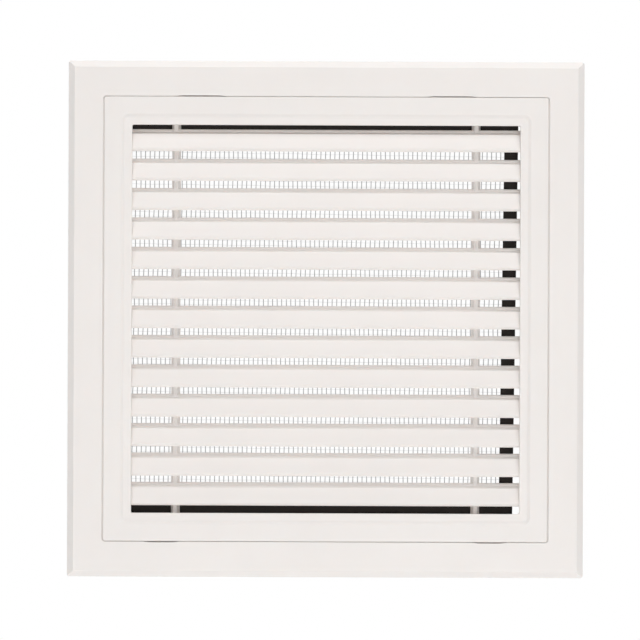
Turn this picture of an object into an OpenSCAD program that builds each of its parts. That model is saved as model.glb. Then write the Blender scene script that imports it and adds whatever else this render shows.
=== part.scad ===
// Square ventilation grille: a wall frame, a clip-in panel with fixed louvre slats, and an insect screen
// Each piece is drawn flat, wall side at z = 0 and front upwards, and is then stood up to face -Y

/* [Louvre panel] */
// Width and height of the square air opening
opening_w = 187; // [120:0.1:240]
// Depth of the soft recess round the opening
recess_depth = 0.8; // [0.4:0.1:1.2]
// Width of the flat recessed ring between the opening and the soft step
recess_ring_w = 3.4; // [1.5:0.05:6]
// Width of the soft step itself
recess_step_w = 1.9; // [1:0.1:3]
// Corner radius of the soft step at its outer line
recess_r = 3.7; // [3.2:0.1:8]
// Flat border from the soft step to the panel's left and right edges
border_w = 8.15; // [8:0.05:16]
// Flat border from the soft step to the panel's top and bottom edges
border_h = 8.2; // [7.8:0.05:16]
// Thickness of the border
border_t = 2.6; // [2:0.1:3.5]
// Thickness of the thin edge that lies on the frame's shelf
edge_t = 1; // [0.8:0.1:1.8]
// Corner radius of the panel
panel_r = 1.1; // [1.05:0.05:4]
// Rounding of the panel's front edge
edge_fillet = 0.6; // [0.3:0.1:0.8]
// Corner radius of the opening
opening_r = 0.8; // [0.5:0.1:3]
// Rounding of the opening's front edge
opening_fillet = 0.3; // [0.2:0.1:0.8]
// How far the opening's edge overhangs the wall behind it
rim_inset = 1; // [0.4:0.1:1.4]
// Wall round the opening, from the border to the back
rim_t = 2; // [1.6:0.1:3]
// Wall that centres the panel in the frame
skirt_t = 1.4; // [1:0.1:2]
// Depth of that wall behind the front face
skirt_depth = 5.2; // [4:0.1:6]
// Clearance between that wall and the frame
skirt_gap = 0.3; // [0.2:0.05:0.5]
// Thickness of the webs between that wall and the rim
web_t = 1.2; // [0.8:0.1:2]
// Distance from one web to the next
web_pitch = 26; // [16:1:60]

/* [Slats] */
// Distance from one slat to the next
slat_pitch = 14.24; // [13.6:0.02:24]
// Height of the sloping face seen from the front
slat_face_h = 8.5; // [6:0.1:10]
// Depth that the sloping face covers
slat_run = 2.4; // [2:0.1:6]
// Rounding of the lower edge, which is also the blade's thickness
nose_r = 1.4; // [1:0.1:1.8]
// Depth of the nearly level ledge between the sloping face and the lip
slat_ledge = 2.8; // [2:0.1:8]
// How far that ledge rises towards the lip
ledge_rise = 1; // [0.2:0.1:1.4]
// Thickness of the ledge
slat_t = 1.4; // [1:0.1:2]
// Setback of the slats' lower edges behind the front face
slat_setback = 2.2; // [1.3:0.1:3]
// Height of the upstand lip's edge above the top of the sloping face
lip_h = 2.45; // [1.5:0.05:3]
// Thickness of the upstand lip
lip_t = 1.4; // [1:0.1:2]
// Gap between the opening's top edge and the first lip
first_gap = 1.65; // [1:0.05:6]

/* [Vertical ribs] */
// Distance of each rib from the middle
rib_x = 72.7; // [30:0.1:80]
// Width of a rib's front edge
rib_front_w = 1.8; // [1:0.1:3]
// Width of a rib at the back
rib_rear_w = 4.3; // [3:0.1:7]
// How far a rib stands in front of the lips
rib_proud = 0.3; // [0.1:0.1:1]
// How far the ribs and the opening's rim reach behind the lips
rib_back = 1.4; // [0:0.1:4]

/* [Snap hooks] */
// Distance of the two top hooks from the middle
top_hook_x = 60.3; // [30:0.1:80]
// Width of the frame's slots for the top hooks
top_slot_w = 23.6; // [12:0.1:30]
// Distance of the two bottom hooks from the middle
bottom_hook_x = 79; // [30:0.5:84]
// Width of the frame's slots for the bottom hooks
bottom_slot_w = 16.4; // [12:0.1:24]
// How far a slot bites into the frame's front edge
notch_depth = 0.3; // [0.2:0.1:1]
// Length over which each end of that notch fades out
notch_fade = 3; // [1:0.5:5]
// Thickness of a hook's tongue
hook_t = 1.3; // [1:0.1:1.5]
// Clearance of a hook in its slot
hook_gap = 0.2; // [0.1:0.05:0.3]
// Clearance at each end of a hook, between it and the frame's ribs
hook_end_gap = 0.3; // [0.1:0.1:1]
// How far the nose reaches behind the frame
hook_bite = 0.8; // [0.5:0.1:1.2]
// Length of the nose along the tongue
nose_len = 2.8; // [2:0.1:4]

/* [Mounting frame] */
// Width of the flange's front face with its bevel
flange_w = 17.05; // [14:0.05:40]
// Seam between the flange and the panel's left and right edges
seam_gap = 0.5; // [0.3:0.05:1]
// Seam between the flange and the panel's top and bottom edges
level_seam_gap = 0.2; // [0.2:0.05:1]
// Corner radius of the flange's outline
corner_r = 1.4; // [0.5:0.1:2]
// Width of the bevel round the outer edge
bevel_w = 3.4; // [1:0.1:5]
// Depth of that bevel
bevel_d = 4; // [1:0.1:6]
// Wall thickness of the flange
flange_t = 2; // [1.5:0.1:2.5]
// Width of the shelf that the panel lies on
shelf_w = 2.8; // [2.6:0.1:3.5]
// Thickness of that shelf
shelf_t = 1.8; // [1.4:0.1:2.4]
// How far the shelf's root runs out under the flange
shelf_root = 2; // [1.8:0.1:3]
// Thickness of the wall below the shelf
inner_wall_t = 1.6; // [1.2:0.1:1.8]
// Thickness of the screw ledge against the wall
ledge_t = 2.4; // [2:0.1:4]
// Thickness of the stiffening ribs behind the flange's face
flange_web_t = 1.4; // [1:0.1:2]
// Distance of the side ribs from the middle
side_web_x = 60; // [30:1:80]
// Height of those ribs
flange_web_h = 3.8; // [2:0.1:4]

/* [Duct collar and screws] */
// Length of the collar behind the wall face
collar_len = 5; // [4:1:40]
// Thickness of the collar
collar_t = 1.4; // [1.2:0.1:2]
// Setback of the collar's inside from the opening's edge
collar_inset = 2.1; // [0.5:0.1:2.2]
// Corner radius inside the collar
collar_r = 3; // [1:0.5:6]
// Bevel on the collar's free end
collar_lead = 0.8; // [0.3:0.1:1]
// Diameter of the screw holes
screw_d = 3.8; // [3.2:0.1:4.2]
// Diameter of the countersinks
sink_d = 6.4; // [5.8:0.1:6.6]
// Depth of the countersinks
sink_depth = 1.2; // [0.8:0.1:1.6]

/* [Insect screen and tape] */
// How far the screen reaches past the opening on each side
screen_overlap = 3.3; // [2:0.05:4.5]
// Clearance between the screen's left corner and the frame
screen_side_gap = 0.35; // [0.3:0.05:3]
// How far the screen sits above the middle
screen_lift = 0.7; // [0:0.1:3]
// How far the screen is turned clockwise, in degrees
screen_turn = 0.7; // [0:0.1:0.8]
// Thickness of the screen
screen_t = 0.45; // [0.3:0.05:0.8]
// Distance from one upright thread to the next
thread_pitch = 2.24; // [1.9:0.02:6]
// Width of a thread
thread_w = 0.45; // [0.3:0.05:0.8]
// Closed band along the screen's edges
selvedge = 2.2; // [1:0.1:5]
// Width of the foam tape
tape_w = 6.6; // [4:0.1:8]
// Width of the left strip, cut narrower
left_tape_w = 5.6; // [3:0.1:8]
// Thickness of the foam tape
tape_t = 0.8; // [0.5:0.1:2]
// Clearance between the screen and the frame's ledge
screen_gap = 0.55; // [0.3:0.05:2]

/* [Hidden] */
$fn = 48;
eps = 0.5;
plastic = [0.93, 0.92, 0.9];
net = [0.78, 0.78, 0.78];
foam = [0.14, 0.12, 0.11];

// Size that grows by the same amount on every side
function grown(size, by) = size + 2 * by * [1, 1];

// Widths and heights, worked out from the opening outwards
opening = [opening_w, opening_w];
recess = grown(opening, recess_ring_w + recess_step_w);
panel = recess + 2 * [border_w, border_h];
pocket = panel + 2 * [seam_gap, level_seam_gap];
frame_w = pocket[0] + 2 * flange_w;
inner_wall = grown(pocket, -shelf_w);
well = grown(inner_wall, -inner_wall_t);
well_r = panel_r + seam_gap;
skirt = grown(well, -skirt_gap);
rim_in = grown(opening, rim_inset);
rim = grown(rim_in, rim_t);
collar_in = grown(opening, collar_inset);
collar = grown(collar_in, collar_t);
screw_at = (collar_in[1] + well[1]) / 4;

// Depths, worked out from the front back to the wall
lip_depth = slat_setback + slat_run + slat_ledge;
panel_depth = lip_depth + lip_t + rib_back;
screen_front_depth = panel_depth + tape_t;
flange_depth = screen_front_depth + screen_t + screen_gap + ledge_t;

// Slats that fit between the top edge and the bottom edge
slat_count = floor((opening_w - first_gap - lip_h - slat_face_h) / slat_pitch) + 1;
first_slat_y = opening_w / 2 - first_gap - lip_h;

// Hooks, measured outwards from the middle of the panel
tongue_in = inner_wall[1] / 2 + hook_gap;
slot_out = pocket[1] / 2 + notch_depth;
catch_depth = edge_t + shelf_t + hook_gap;

// The screen, which is taped on as far to the left as it goes
screen_w = opening_w + 2 * screen_overlap;
screen_reach = screen_w / 2 * (cos(screen_turn) + sin(screen_turn));
screen_shift = well[0] / 2 - screen_reach - screen_side_gap;

// Points of an arc about a centre, between two angles
function arc(centre, r, from, to, steps = 8) =
  [for (k = [0:steps]) let (a = from + (to - from) * k / steps) centre + r * [cos(a), sin(a)]];

// Stands a flat drawing up so that its front faces -Y
module upright() {
  rotate([90, 0, 0]) children();
}

// Puts a depth behind the front face at its height above the wall
module at_depth(d) {
  translate([0, 0, flange_depth - d]) children();
}

// Runs a profile of (across, up) along X, centred
module along_x(length) {
  translate([-length / 2, 0, 0]) rotate([90, 0, 90]) linear_extrude(height = length) children();
}

// Runs a profile of (across, up) along Y, centred
module along_y(length) {
  translate([0, length / 2, 0]) rotate([90, 0, 0]) linear_extrude(height = length) children();
}

// Rectangle with round corners
module round_rect(size, r) {
  straight = grown(size, -r);
  square([size[0], straight[1]], center = true);
  square([straight[0], size[1]], center = true);
  for (sx = [-1, 1], sy = [-1, 1]) translate([sx * straight[0] / 2, sy * straight[1] / 2]) circle(r = r);
}

// Flat plate with round corners, from one depth to another
module plate(size, r, from, to) {
  at_depth(to) linear_extrude(height = to - from) round_rect(size, r);
}

// Sweeps a profile of (outwards, up) round the edge of a rectangle with round corners
module around(size, r) {
  for (k = [0:3]) {
    out = size[k % 2] / 2;
    along = size[(k + 1) % 2] / 2 - r;
    rotate([0, 0, 90 * k]) {
      translate([out, 0, 0]) along_y(2 * along) children();
      translate([out - r, along, 0]) rotate_extrude(angle = 90) translate([r, 0]) children();
    }
  }
}

// Square block with round corners and a mitred bevel round its upper edge
module bevelled_block(size, height) {
  intersection() {
    linear_extrude(height = height) round_rect([size, size], corner_r);
    along_x(size) bevel_profile(size, height);
    along_y(size) bevel_profile(size, height);
  }
}

module bevel_profile(size, height) {
  half = size / 2;
  polygon([
    [-half, 0], [half, 0], [half, height - bevel_d], [half - bevel_w, height],
    [bevel_w - half, height], [-half, height - bevel_d]
  ]);
}

// Puts the first child at both top hooks and the second, turned over, at both bottom hooks
module at_hooks() {
  for (side = [-1, 1]) {
    translate([side * top_hook_x, 0, 0]) children(0);
    translate([side * bottom_hook_x, 0, 0]) mirror([0, 1, 0]) children(1);
  }
}

// Mounting frame
module mounting_frame() {
  color(plastic) upright() {
    difference() {
      union() {
        flange_shell();
        plate(grown(pocket, shelf_root), well_r, edge_t, edge_t + shelf_t);
        plate(inner_wall, well_r, edge_t, flange_depth);
        flange_webs();
        collar_body();
      }
      plate(pocket, well_r, -eps, edge_t);
      plate(well, well_r, 0, flange_depth - ledge_t);
      plate(collar_in, collar_r, 0, flange_depth + collar_len + eps);
      at_hooks() {
        hook_slot(top_slot_w);
        hook_slot(bottom_slot_w);
      }
      for (sx = [-1, 1], sy = [-1, 1]) translate([sx * screw_at, sy * screw_at, 0]) screw_hole();
    }
  }
}

// Hollow flange, open towards the wall
module flange_shell() {
  difference() {
    bevelled_block(frame_w, flange_depth);
    translate([0, 0, -eps]) bevelled_block(frame_w - 2 * flange_t, flange_depth - flange_t + eps);
  }
}

// Ribs under the flange's face, at both ends of each hook slot and on the plain sides
module flange_webs() {
  for (side = [-1, 1]) {
    for (end = [-1, 1]) {
      translate([side * top_hook_x + end * top_slot_w / 2, 0, 0]) flange_web(inner_wall[1]);
      translate([side * bottom_hook_x + end * bottom_slot_w / 2, 0, 0])
        mirror([0, 1, 0]) flange_web(inner_wall[1]);
    }
    for (k = [-1:1]) rotate([0, 0, 90 * side]) translate([k * side_web_x, 0, 0]) flange_web(inner_wall[0]);
  }
}

// Rib from the inner wall of the given width out to the foot of the bevel
module flange_web(wall_w) {
  web_in = (wall_w - inner_wall_t) / 2;
  web_out = frame_w / 2 - bevel_w;
  web_top = flange_depth - flange_t / 2;
  web_low = flange_depth - flange_t - flange_web_h;
  along_x(flange_web_t) polygon([
    [web_in, web_low], [web_out, web_low], [web_out, web_top], [web_in, web_top]
  ]);
}

// Collar that slips into the duct, with a lead-in bevel
module collar_body() {
  translate([0, 0, -collar_len]) difference() {
    linear_extrude(height = collar_len + ledge_t) round_rect(collar, collar_r + collar_t);
    around(collar, collar_r + collar_t)
      polygon([[-collar_lead, 0], [eps, -eps], [eps, collar_lead + eps], [0, collar_lead]]);
  }
}

// Slot through the shelf, which shows as a shallow notch in the flange's inner edge
module hook_slot(slot_w) {
  slot_in = inner_wall[1] / 2;
  full = slot_w / 2 - notch_fade;
  translate([0, 0, flange_depth - edge_t - shelf_t - eps]) linear_extrude(height = edge_t + shelf_t + 2 * eps)
    polygon([
      [-slot_w / 2, slot_in], [slot_w / 2, slot_in], [slot_w / 2, pocket[1] / 2],
      [full, slot_out], [-full, slot_out], [-slot_w / 2, pocket[1] / 2]
    ]);
}

module screw_hole() {
  translate([0, 0, -eps]) cylinder(d = screw_d, h = ledge_t + 2 * eps);
  translate([0, 0, ledge_t - sink_depth]) cylinder(d1 = screw_d, d2 = sink_d, h = sink_depth);
  translate([0, 0, ledge_t]) cylinder(d = sink_d, h = eps);
}

// Louvre panel
module louvre_panel() {
  color(plastic) upright() {
    panel_border();
    opening_rim();
    slats();
    ribs();
    at_hooks() {
      hook(top_slot_w);
      hook(bottom_slot_w);
    }
  }
}

module panel_border() {
  difference() {
    union() {
      plate(panel, panel_r, 0, edge_t);
      plate(skirt, well_r, 0, border_t);
      border_back();
    }
    plate(opening, opening_r, -eps, skirt_depth + eps);
    plate(grown(recess, -recess_step_w), recess_r - recess_step_w, -eps, recess_depth);
    recess_step();
    at_depth(edge_fillet) around(panel, panel_r) fillet_cut(edge_fillet);
    at_depth(recess_depth + opening_fillet) opening_edge();
  }
}

// Locating skirt behind the border
module border_back() {
  difference() {
    plate(skirt, well_r, 0, skirt_depth);
    plate(grown(skirt, -skirt_t), well_r / 2, border_t, skirt_depth + eps);
  }
}

// Ogee that eases the border down into the recess
module recess_step() {
  steps = 10;
  around(recess, recess_r) polygon(concat(
    [for (k = [0:steps])
      [-recess_step_w * k / steps, flange_depth - recess_depth * (1 - cos(180 * k / steps)) / 2]],
    [[-recess_step_w, flange_depth + eps], [0, flange_depth + eps]]
  ));
}

// Waste outside a quarter-round edge whose arc ends on the line at height 0
module fillet_cut(r) {
  difference() {
    translate([-r, 0]) square([r + eps, r + eps]);
    translate([-r, 0]) circle(r = r);
  }
}

// Waste over the opening's rounded front edge, whose arc starts at height 0
module opening_edge() {
  inside = opening_r / 2;
  around(opening, opening_r) difference() {
    translate([-inside, 0]) square([opening_fillet + inside, opening_fillet + eps]);
    translate([opening_fillet, 0]) circle(r = opening_fillet);
  }
}

// Wall round the opening and the webs that stiffen it
module opening_rim() {
  difference() {
    union() {
      plate(rim, opening_r + rim_inset + rim_t, recess_depth + opening_fillet, panel_depth);
      rim_webs();
    }
    plate(opening, opening_r, 0, panel_depth + eps);
    plate(rim_in, opening_r + rim_inset, border_t, panel_depth + eps);
  }
}

module rim_webs() {
  web_count = floor(opening_w / 2 / web_pitch);
  web_in = (rim_in[0] + rim_t) / 2;
  for (k = [0:3], i = [-web_count:web_count]) rotate([0, 0, 90 * k]) translate([i * web_pitch, 0, 0])
    rim_web(web_in, (skirt[(k + 1) % 2] - skirt_t) / 2);
}

module rim_web(web_in, web_out) {
  at_depth(panel_depth) along_x(web_t) polygon([
    [web_in, 0], [web_out - skirt_t / 2, 0], [web_out, panel_depth - skirt_depth],
    [web_out, panel_depth - border_t / 2], [web_in, panel_depth - border_t / 2]
  ]);
}

// Slats, from the top downwards
module slats() {
  for (i = [0:slat_count - 1])
    translate([0, first_slat_y - i * slat_pitch, flange_depth - slat_setback])
      along_x(rim_in[0] + rim_t) slat_profile();
}

// One slat as (up, forwards) from the top of its sloping face and its front edge
module slat_profile() {
  top = [0, -slat_run];
  centre = [nose_r - slat_face_h, -nose_r];
  reach = top - centre;
  touch = atan2(reach[1], reach[0]) + acos(nose_r / norm(reach));
  fall = tan(touch - 90);
  lip_back = -slat_run - slat_ledge - lip_t;
  polygon(concat(
    [top],
    arc(centre, nose_r, touch, 180),
    [centre, [-slat_t, centre[1] + (-slat_t - centre[0]) * fall], [ledge_rise - slat_t, lip_back]],
    arc([lip_h - lip_t / 2, lip_back + lip_t / 2], lip_t / 2, -90, 90),
    [[ledge_rise, lip_back + lip_t]]
  ));
}

// Two vertical ribs across the backs of the slats
module ribs() {
  front = panel_depth - lip_depth + rib_proud;
  for (side = [-1, 1]) translate([side * rib_x, 0, 0])
    at_depth(panel_depth) along_y(rim_in[1] + rim_t) polygon([
      [-rib_rear_w / 2, 0], [rib_rear_w / 2, 0], [rib_front_w / 2, front], [-rib_front_w / 2, front]
    ]);
}

// Springy tongue with a nose that catches behind the frame's shelf
module hook(slot_w) {
  tongue_out = tongue_in + hook_t;
  nose_out = slot_out + hook_bite;
  tip_depth = catch_depth + nose_len;
  at_depth(tip_depth) along_x(slot_w - flange_web_t - 2 * hook_end_gap) polygon([
    [tongue_in, 0], [tongue_out, 0], [nose_out, nose_len * 0.75], [nose_out, nose_len],
    [tongue_out, nose_len], [tongue_out, tip_depth - edge_t / 2], [tongue_in, tip_depth - edge_t / 2]
  ]);
}

// Where the screen and its tape sit, pushed to the left and turned a little clockwise
module screen_place() {
  upright() translate([-screen_shift, screen_lift, 0]) rotate([0, 0, -screen_turn]) children();
}

// Insect screen
module insect_screen() {
  inside = screen_w - 2 * selvedge;
  mesh_count = floor((inside + thread_w) / thread_pitch);
  first = -(mesh_count - 1) * thread_pitch / 2;
  mesh_w = thread_pitch - thread_w;
  color(net) screen_place() difference() {
    at_depth(screen_front_depth + screen_t / 2) cube([screen_w, screen_w, screen_t], center = true);
    for (i = [0:mesh_count - 1]) translate([first + i * thread_pitch, 0, 0])
      at_depth(screen_front_depth + screen_t / 2) cube([mesh_w, inside, screen_t + 2 * eps], center = true);
  }
}

// One strip of foam tape, between the panel's back and the screen
module tape(size, at) {
  color(foam) screen_place() translate(at) at_depth(screen_front_depth - tape_t / 2)
    cube([size[0], size[1], tape_t], center = true);
}

module top_tape() {
  tape([screen_w, tape_w], [0, (screen_w - tape_w) / 2, 0]);
}

module bottom_tape() {
  tape([screen_w, tape_w], [0, (tape_w - screen_w) / 2, 0]);
}

module left_tape() {
  tape([left_tape_w, screen_w - 2 * tape_w], [(left_tape_w - screen_w) / 2, 0, 0]);
}

module right_tape() {
  tape([tape_w, screen_w - 2 * tape_w], [(screen_w - tape_w) / 2, 0, 0]);
}

mounting_frame();
louvre_panel();
insect_screen();
top_tape();
bottom_tape();
left_tape();
right_tape();
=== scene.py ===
"""Dresses the square ventilation grille: white mouldings, a woven insect net, foam tape and the studio."""
import math
import random

import bpy
from mathutils import Euler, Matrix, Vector


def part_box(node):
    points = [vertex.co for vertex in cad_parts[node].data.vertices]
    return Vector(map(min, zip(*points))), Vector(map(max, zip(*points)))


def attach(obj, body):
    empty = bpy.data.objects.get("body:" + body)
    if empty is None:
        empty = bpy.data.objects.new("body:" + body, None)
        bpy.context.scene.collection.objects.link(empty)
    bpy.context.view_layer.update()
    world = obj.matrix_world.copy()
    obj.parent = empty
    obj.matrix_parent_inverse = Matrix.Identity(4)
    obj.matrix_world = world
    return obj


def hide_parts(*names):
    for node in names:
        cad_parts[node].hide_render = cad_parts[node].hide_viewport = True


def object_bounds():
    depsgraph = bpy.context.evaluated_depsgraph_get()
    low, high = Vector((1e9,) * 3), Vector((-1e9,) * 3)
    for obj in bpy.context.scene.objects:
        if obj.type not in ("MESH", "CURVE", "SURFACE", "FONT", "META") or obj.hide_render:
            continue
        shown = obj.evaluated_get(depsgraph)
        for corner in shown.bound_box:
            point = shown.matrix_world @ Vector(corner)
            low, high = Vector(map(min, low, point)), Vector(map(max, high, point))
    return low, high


bl_info = {
    "name": "Ventilation Grille Finishes",
    "version": (1, 0, 0),
    "blender": (4, 5, 0),
    "location": "View3D > Sidebar > Vent Grille",
    "description": "Finishes, insect net and studio for a square ventilation grille",
    "category": "Object",
}

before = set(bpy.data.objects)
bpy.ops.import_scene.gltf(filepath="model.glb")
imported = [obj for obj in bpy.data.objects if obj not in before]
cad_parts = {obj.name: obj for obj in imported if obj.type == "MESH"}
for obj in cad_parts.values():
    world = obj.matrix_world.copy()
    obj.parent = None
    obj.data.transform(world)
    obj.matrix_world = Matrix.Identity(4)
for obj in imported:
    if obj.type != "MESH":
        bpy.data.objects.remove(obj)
CAD_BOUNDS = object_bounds()

ROOT = "root"
MM = 0.001

# The screen's cut size and its turn in the frame, as it was taped on
SCREEN_W = 193.6 * MM
SCREEN_TURN = math.radians(0.7)

# The photograph's frame: pixels across, the object's width in pixels and where its middle lies
PHOTO_PX = 640
OBJECT_PX = 515.8
MIDDLE_PX = (325.75, 319.35)
SENSOR_MM = 36
# The outline that was measured lies this far behind the front face
BEVEL_DEPTH = 4 * MM
TAPES = ("top_tape", "bottom_tape", "left_tape", "right_tape")


class Term:
    """A shader socket that takes part in ordinary arithmetic."""

    def __init__(self, board, socket):
        self.board = board
        self.socket = socket

    def _math(self, operation, first, second):
        return self.board.add("ShaderNodeMath", {"operation": operation}, {0: first, 1: second})

    def __add__(self, other):
        return self._math("ADD", self, other)

    def __radd__(self, other):
        return self._math("ADD", other, self)

    def __mul__(self, other):
        return self._math("MULTIPLY", self, other)

    def __rmul__(self, other):
        return self._math("MULTIPLY", other, self)

    def at_least(self, other):
        return self._math("MAXIMUM", self, other)


class Board:
    """A node tree that is filled one node at a time."""

    def __init__(self, tree):
        self.tree = tree
        tree.nodes.clear()

    def add(self, kind, settings=None, sockets=None, output=0):
        """Adds a node, sets it up, then fills its sockets with values or links."""
        node = self.tree.nodes.new(kind)
        for key, value in (settings or {}).items():
            if key == "stops":
                self._set_stops(node.color_ramp, value)
            else:
                setattr(node, key, value)
        for key, value in (sockets or {}).items():
            if isinstance(value, Term):
                self.tree.links.new(value.socket, node.inputs[key])
            else:
                node.inputs[key].default_value = value
        return Term(self, node.outputs[output]) if node.outputs else node

    @staticmethod
    def _set_stops(ramp, stops):
        while len(ramp.elements) < len(stops):
            ramp.elements.new(1)
        for element, (place, shade) in zip(ramp.elements, stops):
            element.position = place
            element.color = (shade, shade, shade, 1)

    def place(self):
        return self.add("ShaderNodeTexCoord", output="Object")

    def noise(self, size, detail=2.0, rough=0.5):
        """Cloudy values from 0 to 1 whose patches are about size metres across."""
        sockets = {"Vector": self.place(), "Scale": 1 / size, "Detail": detail, "Roughness": rough}
        return self.add("ShaderNodeTexNoise", sockets=sockets)

    def ramp(self, value, low, high):
        """Stretches the span from low to high over 0 to 1."""
        return self.add("ShaderNodeValToRGB", {"stops": [(low, 0), (high, 1)]}, {"Fac": value})

    def blend(self, factor, first, second):
        """Mixes two colours."""
        settings = {"data_type": "RGBA"}
        return self.add("ShaderNodeMix", settings, {0: factor, 6: first, 7: second}, output=2)

    def bump(self, height, strength, distance):
        sockets = {"Height": height, "Strength": strength, "Distance": distance}
        return self.add("ShaderNodeBump", sockets=sockets)

    def surface(self, shader):
        self.add("ShaderNodeOutputMaterial", sockets={"Surface": shader})


def new_finish(name):
    """A new material, and the board that its nodes go on."""
    material = bpy.data.materials.new(name)
    material.use_nodes = True
    return material, Board(material.node_tree)


def rgba(colour, gain=1.0):
    """A colour of three parts, lightened or darkened, as four."""
    return (*(min(1.0, part * gain) for part in colour), 1.0)


def moulded_plastic(name, colour, roughness):
    """Satin moulded plastic: a fine eroded grain, faint flow clouds and slightly uneven gloss."""
    grain_size, cloud_size, patch_size = 0.55 * MM, 42 * MM, 16 * MM
    material, board = new_finish(name)
    grain = board.noise(grain_size, detail=3.0, rough=0.6)
    clouds = board.ramp(board.noise(cloud_size, detail=3.0), 0.3, 0.7)
    handled = board.ramp(board.noise(patch_size, detail=4.0, rough=0.62), 0.35, 0.75)
    tint = board.blend(clouds, rgba(colour, 0.988), rgba(colour, 1.008))
    board.surface(board.add("ShaderNodeBsdfPrincipled", sockets={
        "Base Color": tint,
        "Roughness": roughness - 0.03 + 0.05 * handled + 0.05 * grain,
        "IOR": 1.53,
        "Subsurface Weight": 0.4,
        "Subsurface Radius": (1.0, 0.88, 0.8),
        "Subsurface Scale": 0.8 * MM,
        "Normal": board.bump(grain, 0.12, 0.03 * MM),
    }))
    return material


def foam(name, colour):
    """Black closed-cell foam: open pores in a matt ground, with painted shade darkening the pits of the
    pores, and paler dust on its skin.
    """
    cell_size, dust_size = 0.45 * MM, 3 * MM
    material, board = new_finish(name)
    sockets = {"Vector": board.place(), "Scale": 1 / cell_size}
    pores = board.ramp(board.add("ShaderNodeTexVoronoi", {"feature": "F1"}, sockets), 0.12, 0.5)
    dust = board.ramp(board.noise(dust_size, detail=5.0, rough=0.7), 0.45, 0.75)
    # Painted shade: the middle of each pore, where the bump sinks it, is coloured darker
    ground_with_painted_pore_shade = board.blend(pores, rgba(colour, 0.45), rgba(colour, 1.0))
    board.surface(board.add("ShaderNodeBsdfPrincipled", sockets={
        "Base Color": board.blend(dust * 0.25, ground_with_painted_pore_shade, rgba(colour, 2.4)),
        "Roughness": 0.78 + 0.12 * dust,
        "Specular IOR Level": 0.3,
        "Normal": board.bump(pores, 0.5, 0.12 * MM),
    }))
    return material


def net_thread(name, colour):
    """Milky plastic thread with drawn streaks and a soft gloss; the grey colour that it is given is
    painted shade for the shade that falls on the threads behind the slats.
    """
    streak_size, patch_size = 0.3 * MM, 9 * MM
    material, board = new_finish(name)
    streaks = board.noise(streak_size, detail=2.0)
    patches = board.ramp(board.noise(patch_size, detail=3.0), 0.3, 0.7)
    board.surface(board.add("ShaderNodeBsdfPrincipled", sockets={
        # The thread colour's grey is painted shade on the milky threads; the patches are random tone.
        "Base Color": board.blend(patches, rgba(colour, 0.93), rgba(colour, 1.05)),
        "Roughness": 0.32 + 0.16 * streaks,
        "Normal": board.bump(streaks, 0.2, 0.02 * MM),
    }))
    return material


def dress(node, material):
    """Gives a CAD node its finish."""
    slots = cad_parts[node].data.materials
    slots.clear()
    slots.append(material)


def tube_rings(path, across, half_width, half_depth, sides):
    """Rings of points round a path in the XZ plane; across is the unit vector over its width."""
    points = []
    for spot in path:
        for k in range(sides):
            turn = math.tau * (k + 0.5) / sides
            side = across * (half_width * math.cos(turn))
            points.append(spot + side + Vector((0, half_depth * math.sin(turn), 0)))
    return points


def tube_faces(start, rings, sides):
    """Faces that close a tube whose first point has the number start."""
    faces = []
    for ring in range(rings - 1):
        low = start + ring * sides
        for k in range(sides):
            nxt = (k + 1) % sides
            faces.append((low + k, low + nxt, low + sides + nxt, low + sides + k))
    last = start + (rings - 1) * sides
    faces.append(tuple(reversed(range(start, start + sides))))
    faces.append(tuple(range(last, last + sides)))
    return faces


def smooth_piece(name, points, faces, material):
    """A new object from points and faces, shaded smooth."""
    mesh = bpy.data.meshes.new(name)
    mesh.from_pydata(points, [], faces)
    mesh.polygons.foreach_set("use_smooth", [True] * len(mesh.polygons))
    mesh.materials.append(material)
    mesh.update()
    piece = bpy.data.objects.new(name, mesh)
    bpy.context.scene.collection.objects.link(piece)
    return piece


class PlasticSettings(bpy.types.PropertyGroup):
    """The two white mouldings."""

    colour: bpy.props.FloatVectorProperty(
        name="Plastic", description="Warm white of the mouldings", subtype="COLOR", size=3,
        default=(0.872, 0.822, 0.788), min=0, max=1)
    roughness: bpy.props.FloatProperty(
        name="Roughness", description="Gloss of the satin surface", default=0.42, min=0, max=1,
        subtype="FACTOR")


class ScreenSettings(bpy.types.PropertyGroup):
    """The insect net and the tape that holds it."""

    pitch: bpy.props.FloatProperty(
        name="Thread pitch", description="Distance from thread to thread", default=2.24 * MM,
        unit="LENGTH")
    warp_width: bpy.props.FloatProperty(
        name="Upright thread", description="Width of the upright threads", default=0.42 * MM,
        unit="LENGTH")
    warp_depth: bpy.props.FloatProperty(
        name="Upright depth", description="Thickness of the upright threads", default=0.26 * MM,
        unit="LENGTH")
    weft_width: bpy.props.FloatProperty(
        name="Cross thread", description="Thickness of the cross threads", default=0.09 * MM,
        unit="LENGTH")
    sway: bpy.props.FloatProperty(
        name="Sway", description="How far a thread wanders off its line", default=0.13 * MM,
        unit="LENGTH")
    # The threads' grey is painted shade: milky white threads darkened to stand for the shade they lie in
    # behind the slats
    thread: bpy.props.FloatVectorProperty(
        name="Thread", description="Colour of the threads", subtype="COLOR", size=3,
        default=(0.4, 0.4, 0.41), min=0, max=1)
    foam: bpy.props.FloatVectorProperty(
        name="Foam", description="Colour of the foam tape", subtype="COLOR", size=3,
        default=(0.022, 0.018, 0.016), min=0, max=1)


class StageSettings(bpy.types.PropertyGroup):
    """The camera, the lights and the floor."""

    distance: bpy.props.FloatProperty(
        name="Camera distance", description="From the lens to the grille's front", default=1.0,
        unit="LENGTH")
    roll: bpy.props.FloatProperty(
        name="Roll", description="How far the photograph is rolled", default=math.radians(-0.22),
        unit="ROTATION")
    floor_drop: bpy.props.FloatProperty(
        name="Floor", description="From the grille's lower edge down to the floor", default=0.3,
        unit="LENGTH")
    ambient: bpy.props.FloatProperty(
        name="Ambient", description="Strength of the even light from the front half of the room",
        default=0.33, min=0)
    backdrop: bpy.props.FloatProperty(
        name="Backdrop", description="Strength of the white backdrop behind the grille",
        default=1.0, min=0)


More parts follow.
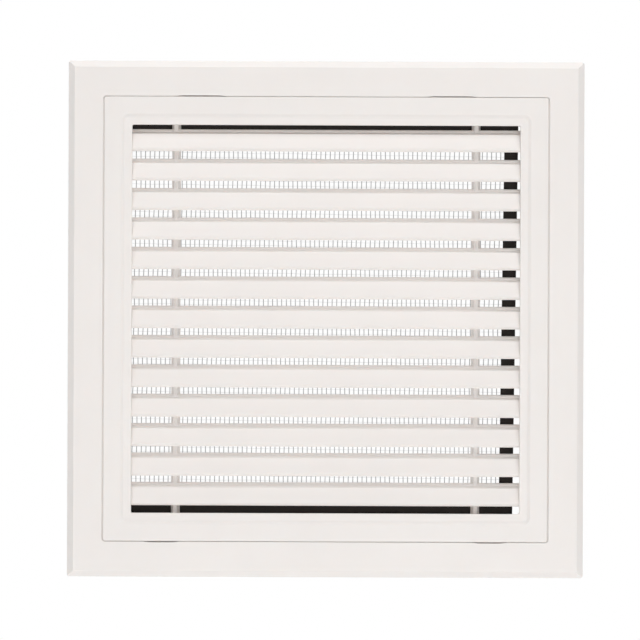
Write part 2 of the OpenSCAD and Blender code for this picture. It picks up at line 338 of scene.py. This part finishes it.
class VENT_OT_mounting_frame(bpy.types.Operator):
    """Finishes the frame that stays on the wall"""

    bl_idname = "vent.mounting_frame"
    bl_label = "Mounting Frame"

    def execute(self, context):
        look = context.scene.vent_plastic
        dress("mounting_frame", moulded_plastic("frame_plastic", look.colour, look.roughness))
        return {"FINISHED"}


class VENT_OT_louvre_panel(bpy.types.Operator):
    """Finishes the clip-in panel with its slats"""

    bl_idname = "vent.louvre_panel"
    bl_label = "Louvre Panel"

    def execute(self, context):
        look = context.scene.vent_plastic
        dress("louvre_panel", moulded_plastic("panel_plastic", look.colour, look.roughness))
        return {"FINISHED"}


class VENT_OT_foam_tape(bpy.types.Operator):
    """Finishes the four strips of foam tape"""

    bl_idname = "vent.foam_tape"
    bl_label = "Foam Tape"

    def execute(self, context):
        material = foam("foam_tape", context.scene.vent_screen.foam)
        for tape in TAPES:
            dress(tape, material)
        return {"FINISHED"}


class VENT_OT_insect_screen(bpy.types.Operator):
    """Weaves the insect net in the place of its plain solid"""

    bl_idname = "vent.insect_screen"
    bl_label = "Insect Screen"

    WARP_SIDES = 6
    WEFT_SIDES = 5
    # How far a thread bends out of the net's plane where it crosses another
    WARP_LIFT = 0.03 * MM
    WEFT_LIFT = 0.15 * MM
    # The cut ends are uneven by this much
    FRAY = 0.5 * MM
    # Length of one wave of a thread's sway, how far the wave moves on from
    # thread to thread, and the most that chance adds to that, in radians
    SWAY_LENGTH = 31 * MM
    SWAY_STEP = 0.21
    SWAY_CHANCE = 0.6
    SEED = 7

    def execute(self, context):
        look = context.scene.vent_screen
        low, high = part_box("insect_screen")
        self.middle = (low + high) / 2
        self.random = random.Random(self.SEED)
        points, faces = [], []
        lines = self.lines(look.pitch)
        for i, line in enumerate(lines):
            for upright in (True, False):
                self.thread(points, faces, lines, i, line, upright, look)
        # The thread material's grey is painted shade on the milky threads
        net = smooth_piece("insect_net", points, faces, net_thread("screen_thread", look.thread))
        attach(net, ROOT)
        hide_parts("insect_screen")
        return {"FINISHED"}

    def lines(self, pitch):
        """Places of the threads across the net, the same for both directions."""
        count = int(SCREEN_W / pitch)
        first = -pitch * (count - 1) / 2
        return [first + k * pitch for k in range(count)]

    def thread(self, points, faces, lines, number, line, upright, look):
        """One thread, over and under those that it crosses, with cut ends."""
        half = SCREEN_W / 2
        shift = self.SWAY_STEP * number + self.random.uniform(0, self.SWAY_CHANCE)
        ends = [half - self.random.uniform(0, self.FRAY) for _ in range(2)]
        stops = [-ends[0], *lines, ends[1]]
        lift = self.WARP_LIFT if upright else -self.WEFT_LIFT
        path = []
        for k, along in enumerate(stops):
            off = line + look.sway * math.sin(math.tau * along / self.SWAY_LENGTH + shift)
            over = lift * (1 if (number + k) % 2 else -1)
            path.append(self.place(off, along, over) if upright else self.place(along, off, over))
        across = Vector((math.cos(SCREEN_TURN), 0, -math.sin(SCREEN_TURN)))
        if upright:
            width, depth, sides = look.warp_width, look.warp_depth, self.WARP_SIDES
        else:
            across = Vector((-across.z, 0, across.x))
            width, depth, sides = look.weft_width, look.weft_width, self.WEFT_SIDES
        start = len(points)
        points.extend(tube_rings(path, across, width / 2, depth / 2, sides))
        faces.extend(tube_faces(start, len(path), sides))

    def place(self, across, up, over):
        """A point of the net's own plane in the frame, with the net's turn."""
        cos, sin = math.cos(SCREEN_TURN), math.sin(SCREEN_TURN)
        return self.middle + Vector((across * cos + up * sin, over, up * cos - across * sin))


class VENT_OT_stage(bpy.types.Operator):
    """Sets up the camera, the soft lights, the white surroundings and the floor"""

    bl_idname = "vent.stage"
    bl_label = "Stage"

    # The daylight is a touch cool against the warm white plastic
    TINT = (0.965, 0.98, 0.99)
    # Each light: name, place, size across and up, power in watts
    LIGHTS = (
        ("top_softbox", (0.1, -1.17, 1.4), (1.8, 1.0), 16.4),
        ("back_softbox", (0.0, 0.35, 1.6), (2.0, 0.8), 4.8),
        ("front_fill", (0.2, -2.4, -0.3), (1.2, 0.7), 9.7),
        ("low_bounce", (0.0, -0.08, -0.42), (1.2, 0.45), 0.78),
    )

    def execute(self, context):
        stage = context.scene.vent_stage
        self.camera(context.scene, stage)
        for name, spot, size, power in self.LIGHTS:
            self.softbox(context.scene, name, Vector(spot), size, power)
        self.surroundings(context.scene, stage)
        self.floor(context.scene, stage.floor_drop)
        context.scene.view_settings.view_transform = "Standard"
        return {"FINISHED"}

    def camera(self, scene, stage):
        """A long lens square on to the front, placed as the photograph has the grille in its frame."""
        low, high = CAD_BOUNDS
        px = OBJECT_PX / (high[0] - low[0])
        data = bpy.data.cameras.new("camera")
        data.sensor_width = SENSOR_MM
        data.lens = SENSOR_MM * (stage.distance + BEVEL_DEPTH) * px / PHOTO_PX
        data.clip_end = 50
        camera = bpy.data.objects.new("camera", data)
        aside = (PHOTO_PX / 2 - MIDDLE_PX[0]) / px
        below = (MIDDLE_PX[1] - PHOTO_PX / 2) / px
        camera.location = (aside, low[1] - stage.distance, below)
        camera.rotation_euler = Euler((math.pi / 2, stage.roll, 0), "YXZ")
        scene.collection.objects.link(camera)
        scene.camera = camera

    def softbox(self, scene, name, spot, size, power):
        """A wide lamp that faces the grille."""
        data = bpy.data.lights.new(name, "AREA")
        data.shape = "RECTANGLE"
        data.size, data.size_y = size
        data.energy = power
        data.color = self.TINT
        lamp = bpy.data.objects.new(name, data)
        lamp.location = spot
        lamp.rotation_euler = (-spot).to_track_quat("-Z", "Y").to_euler()
        scene.collection.objects.link(lamp)

    def surroundings(self, scene, stage):
        """Plain white where the camera looks, a white backdrop behind and a soft even room in front."""
        world = bpy.data.worlds.new("surroundings")
        world.use_nodes = True
        scene.world = world
        board = Board(world.node_tree)
        ray = board.add("ShaderNodeLightPath")
        seen = ray
        for name in ("Is Glossy Ray", "Is Transmission Ray"):
            seen = seen.at_least(Term(board, ray.socket.node.outputs[name]))
        direction = board.add("ShaderNodeTexCoord", output="Generated")
        depth = board.add("ShaderNodeSeparateXYZ", sockets={"Vector": direction}, output="Y")
        behind = board.ramp(0.5 + 0.5 * depth, 0.5, 0.6)
        strength = stage.ambient + (stage.backdrop - stage.ambient) * behind
        sockets = {"Color": (*self.TINT, 1), "Strength": strength}
        soft = board.add("ShaderNodeBackground", sockets=sockets)
        sockets = {"Color": (1, 1, 1, 1), "Strength": 1.0}
        white = board.add("ShaderNodeBackground", sockets=sockets)
        mixed = board.add("ShaderNodeMixShader", sockets={0: seen, 1: soft, 2: white})
        board.add("ShaderNodeOutputWorld", sockets={"Surface": mixed})

    def floor(self, scene, drop):
        """A pale floor below the hung grille."""
        level = CAD_BOUNDS[0][2] - drop
        front, back, side = -1.6, 0.85, 2.0
        mesh = bpy.data.meshes.new("floor")
        corners = [(-side, front, level), (side, front, level), (side, back, level), (-side, back, level)]
        mesh.from_pydata(corners, [], [(0, 1, 2, 3)])
        material, board = new_finish("floor_paint")
        clouds = board.noise(300 * MM, detail=3.0)
        board.surface(board.add("ShaderNodeBsdfPrincipled", sockets={
            "Base Color": board.blend(clouds, (0.86, 0.86, 0.86, 1), (0.9, 0.9, 0.9, 1)),
            "Roughness": 0.7 + 0.1 * board.noise(20 * MM),
        }))
        mesh.materials.append(material)
        floor = bpy.data.objects.new("floor", mesh)
        scene.collection.objects.link(floor)


class VENT_PT_sidebar(bpy.types.Panel):
    """Lists the grille's steps and settings"""

    bl_idname = "VENT_PT_sidebar"
    bl_label = "Ventilation Grille"
    bl_space_type = "VIEW_3D"
    bl_region_type = "UI"
    bl_category = "Vent Grille"

    def draw(self, context):
        scene = context.scene
        for settings in (scene.vent_plastic, scene.vent_screen, scene.vent_stage):
            box = self.layout.box()
            for name in settings.__annotations__:
                box.prop(settings, name)
        for operator in STEPS:
            self.layout.operator(operator.bl_idname)


SETTINGS = {
    "vent_plastic": PlasticSettings,
    "vent_screen": ScreenSettings,
    "vent_stage": StageSettings,
}
STEPS = (
    VENT_OT_mounting_frame,
    VENT_OT_louvre_panel,
    VENT_OT_foam_tape,
    VENT_OT_insect_screen,
    VENT_OT_stage,
)
CLASSES = (*SETTINGS.values(), *STEPS, VENT_PT_sidebar)


def register():
    for cls in CLASSES:
        bpy.utils.register_class(cls)
    for name, cls in SETTINGS.items():
        setattr(bpy.types.Scene, name, bpy.props.PointerProperty(type=cls))


def unregister():
    for name in SETTINGS:
        delattr(bpy.types.Scene, name)
    for cls in reversed(CLASSES):
        bpy.utils.unregister_class(cls)


def main():
    register()
    bpy.ops.vent.mounting_frame()
    bpy.ops.vent.louvre_panel()
    bpy.ops.vent.foam_tape()
    bpy.ops.vent.insect_screen()
    bpy.ops.vent.stage()


if __name__ == "__main__":
    main()
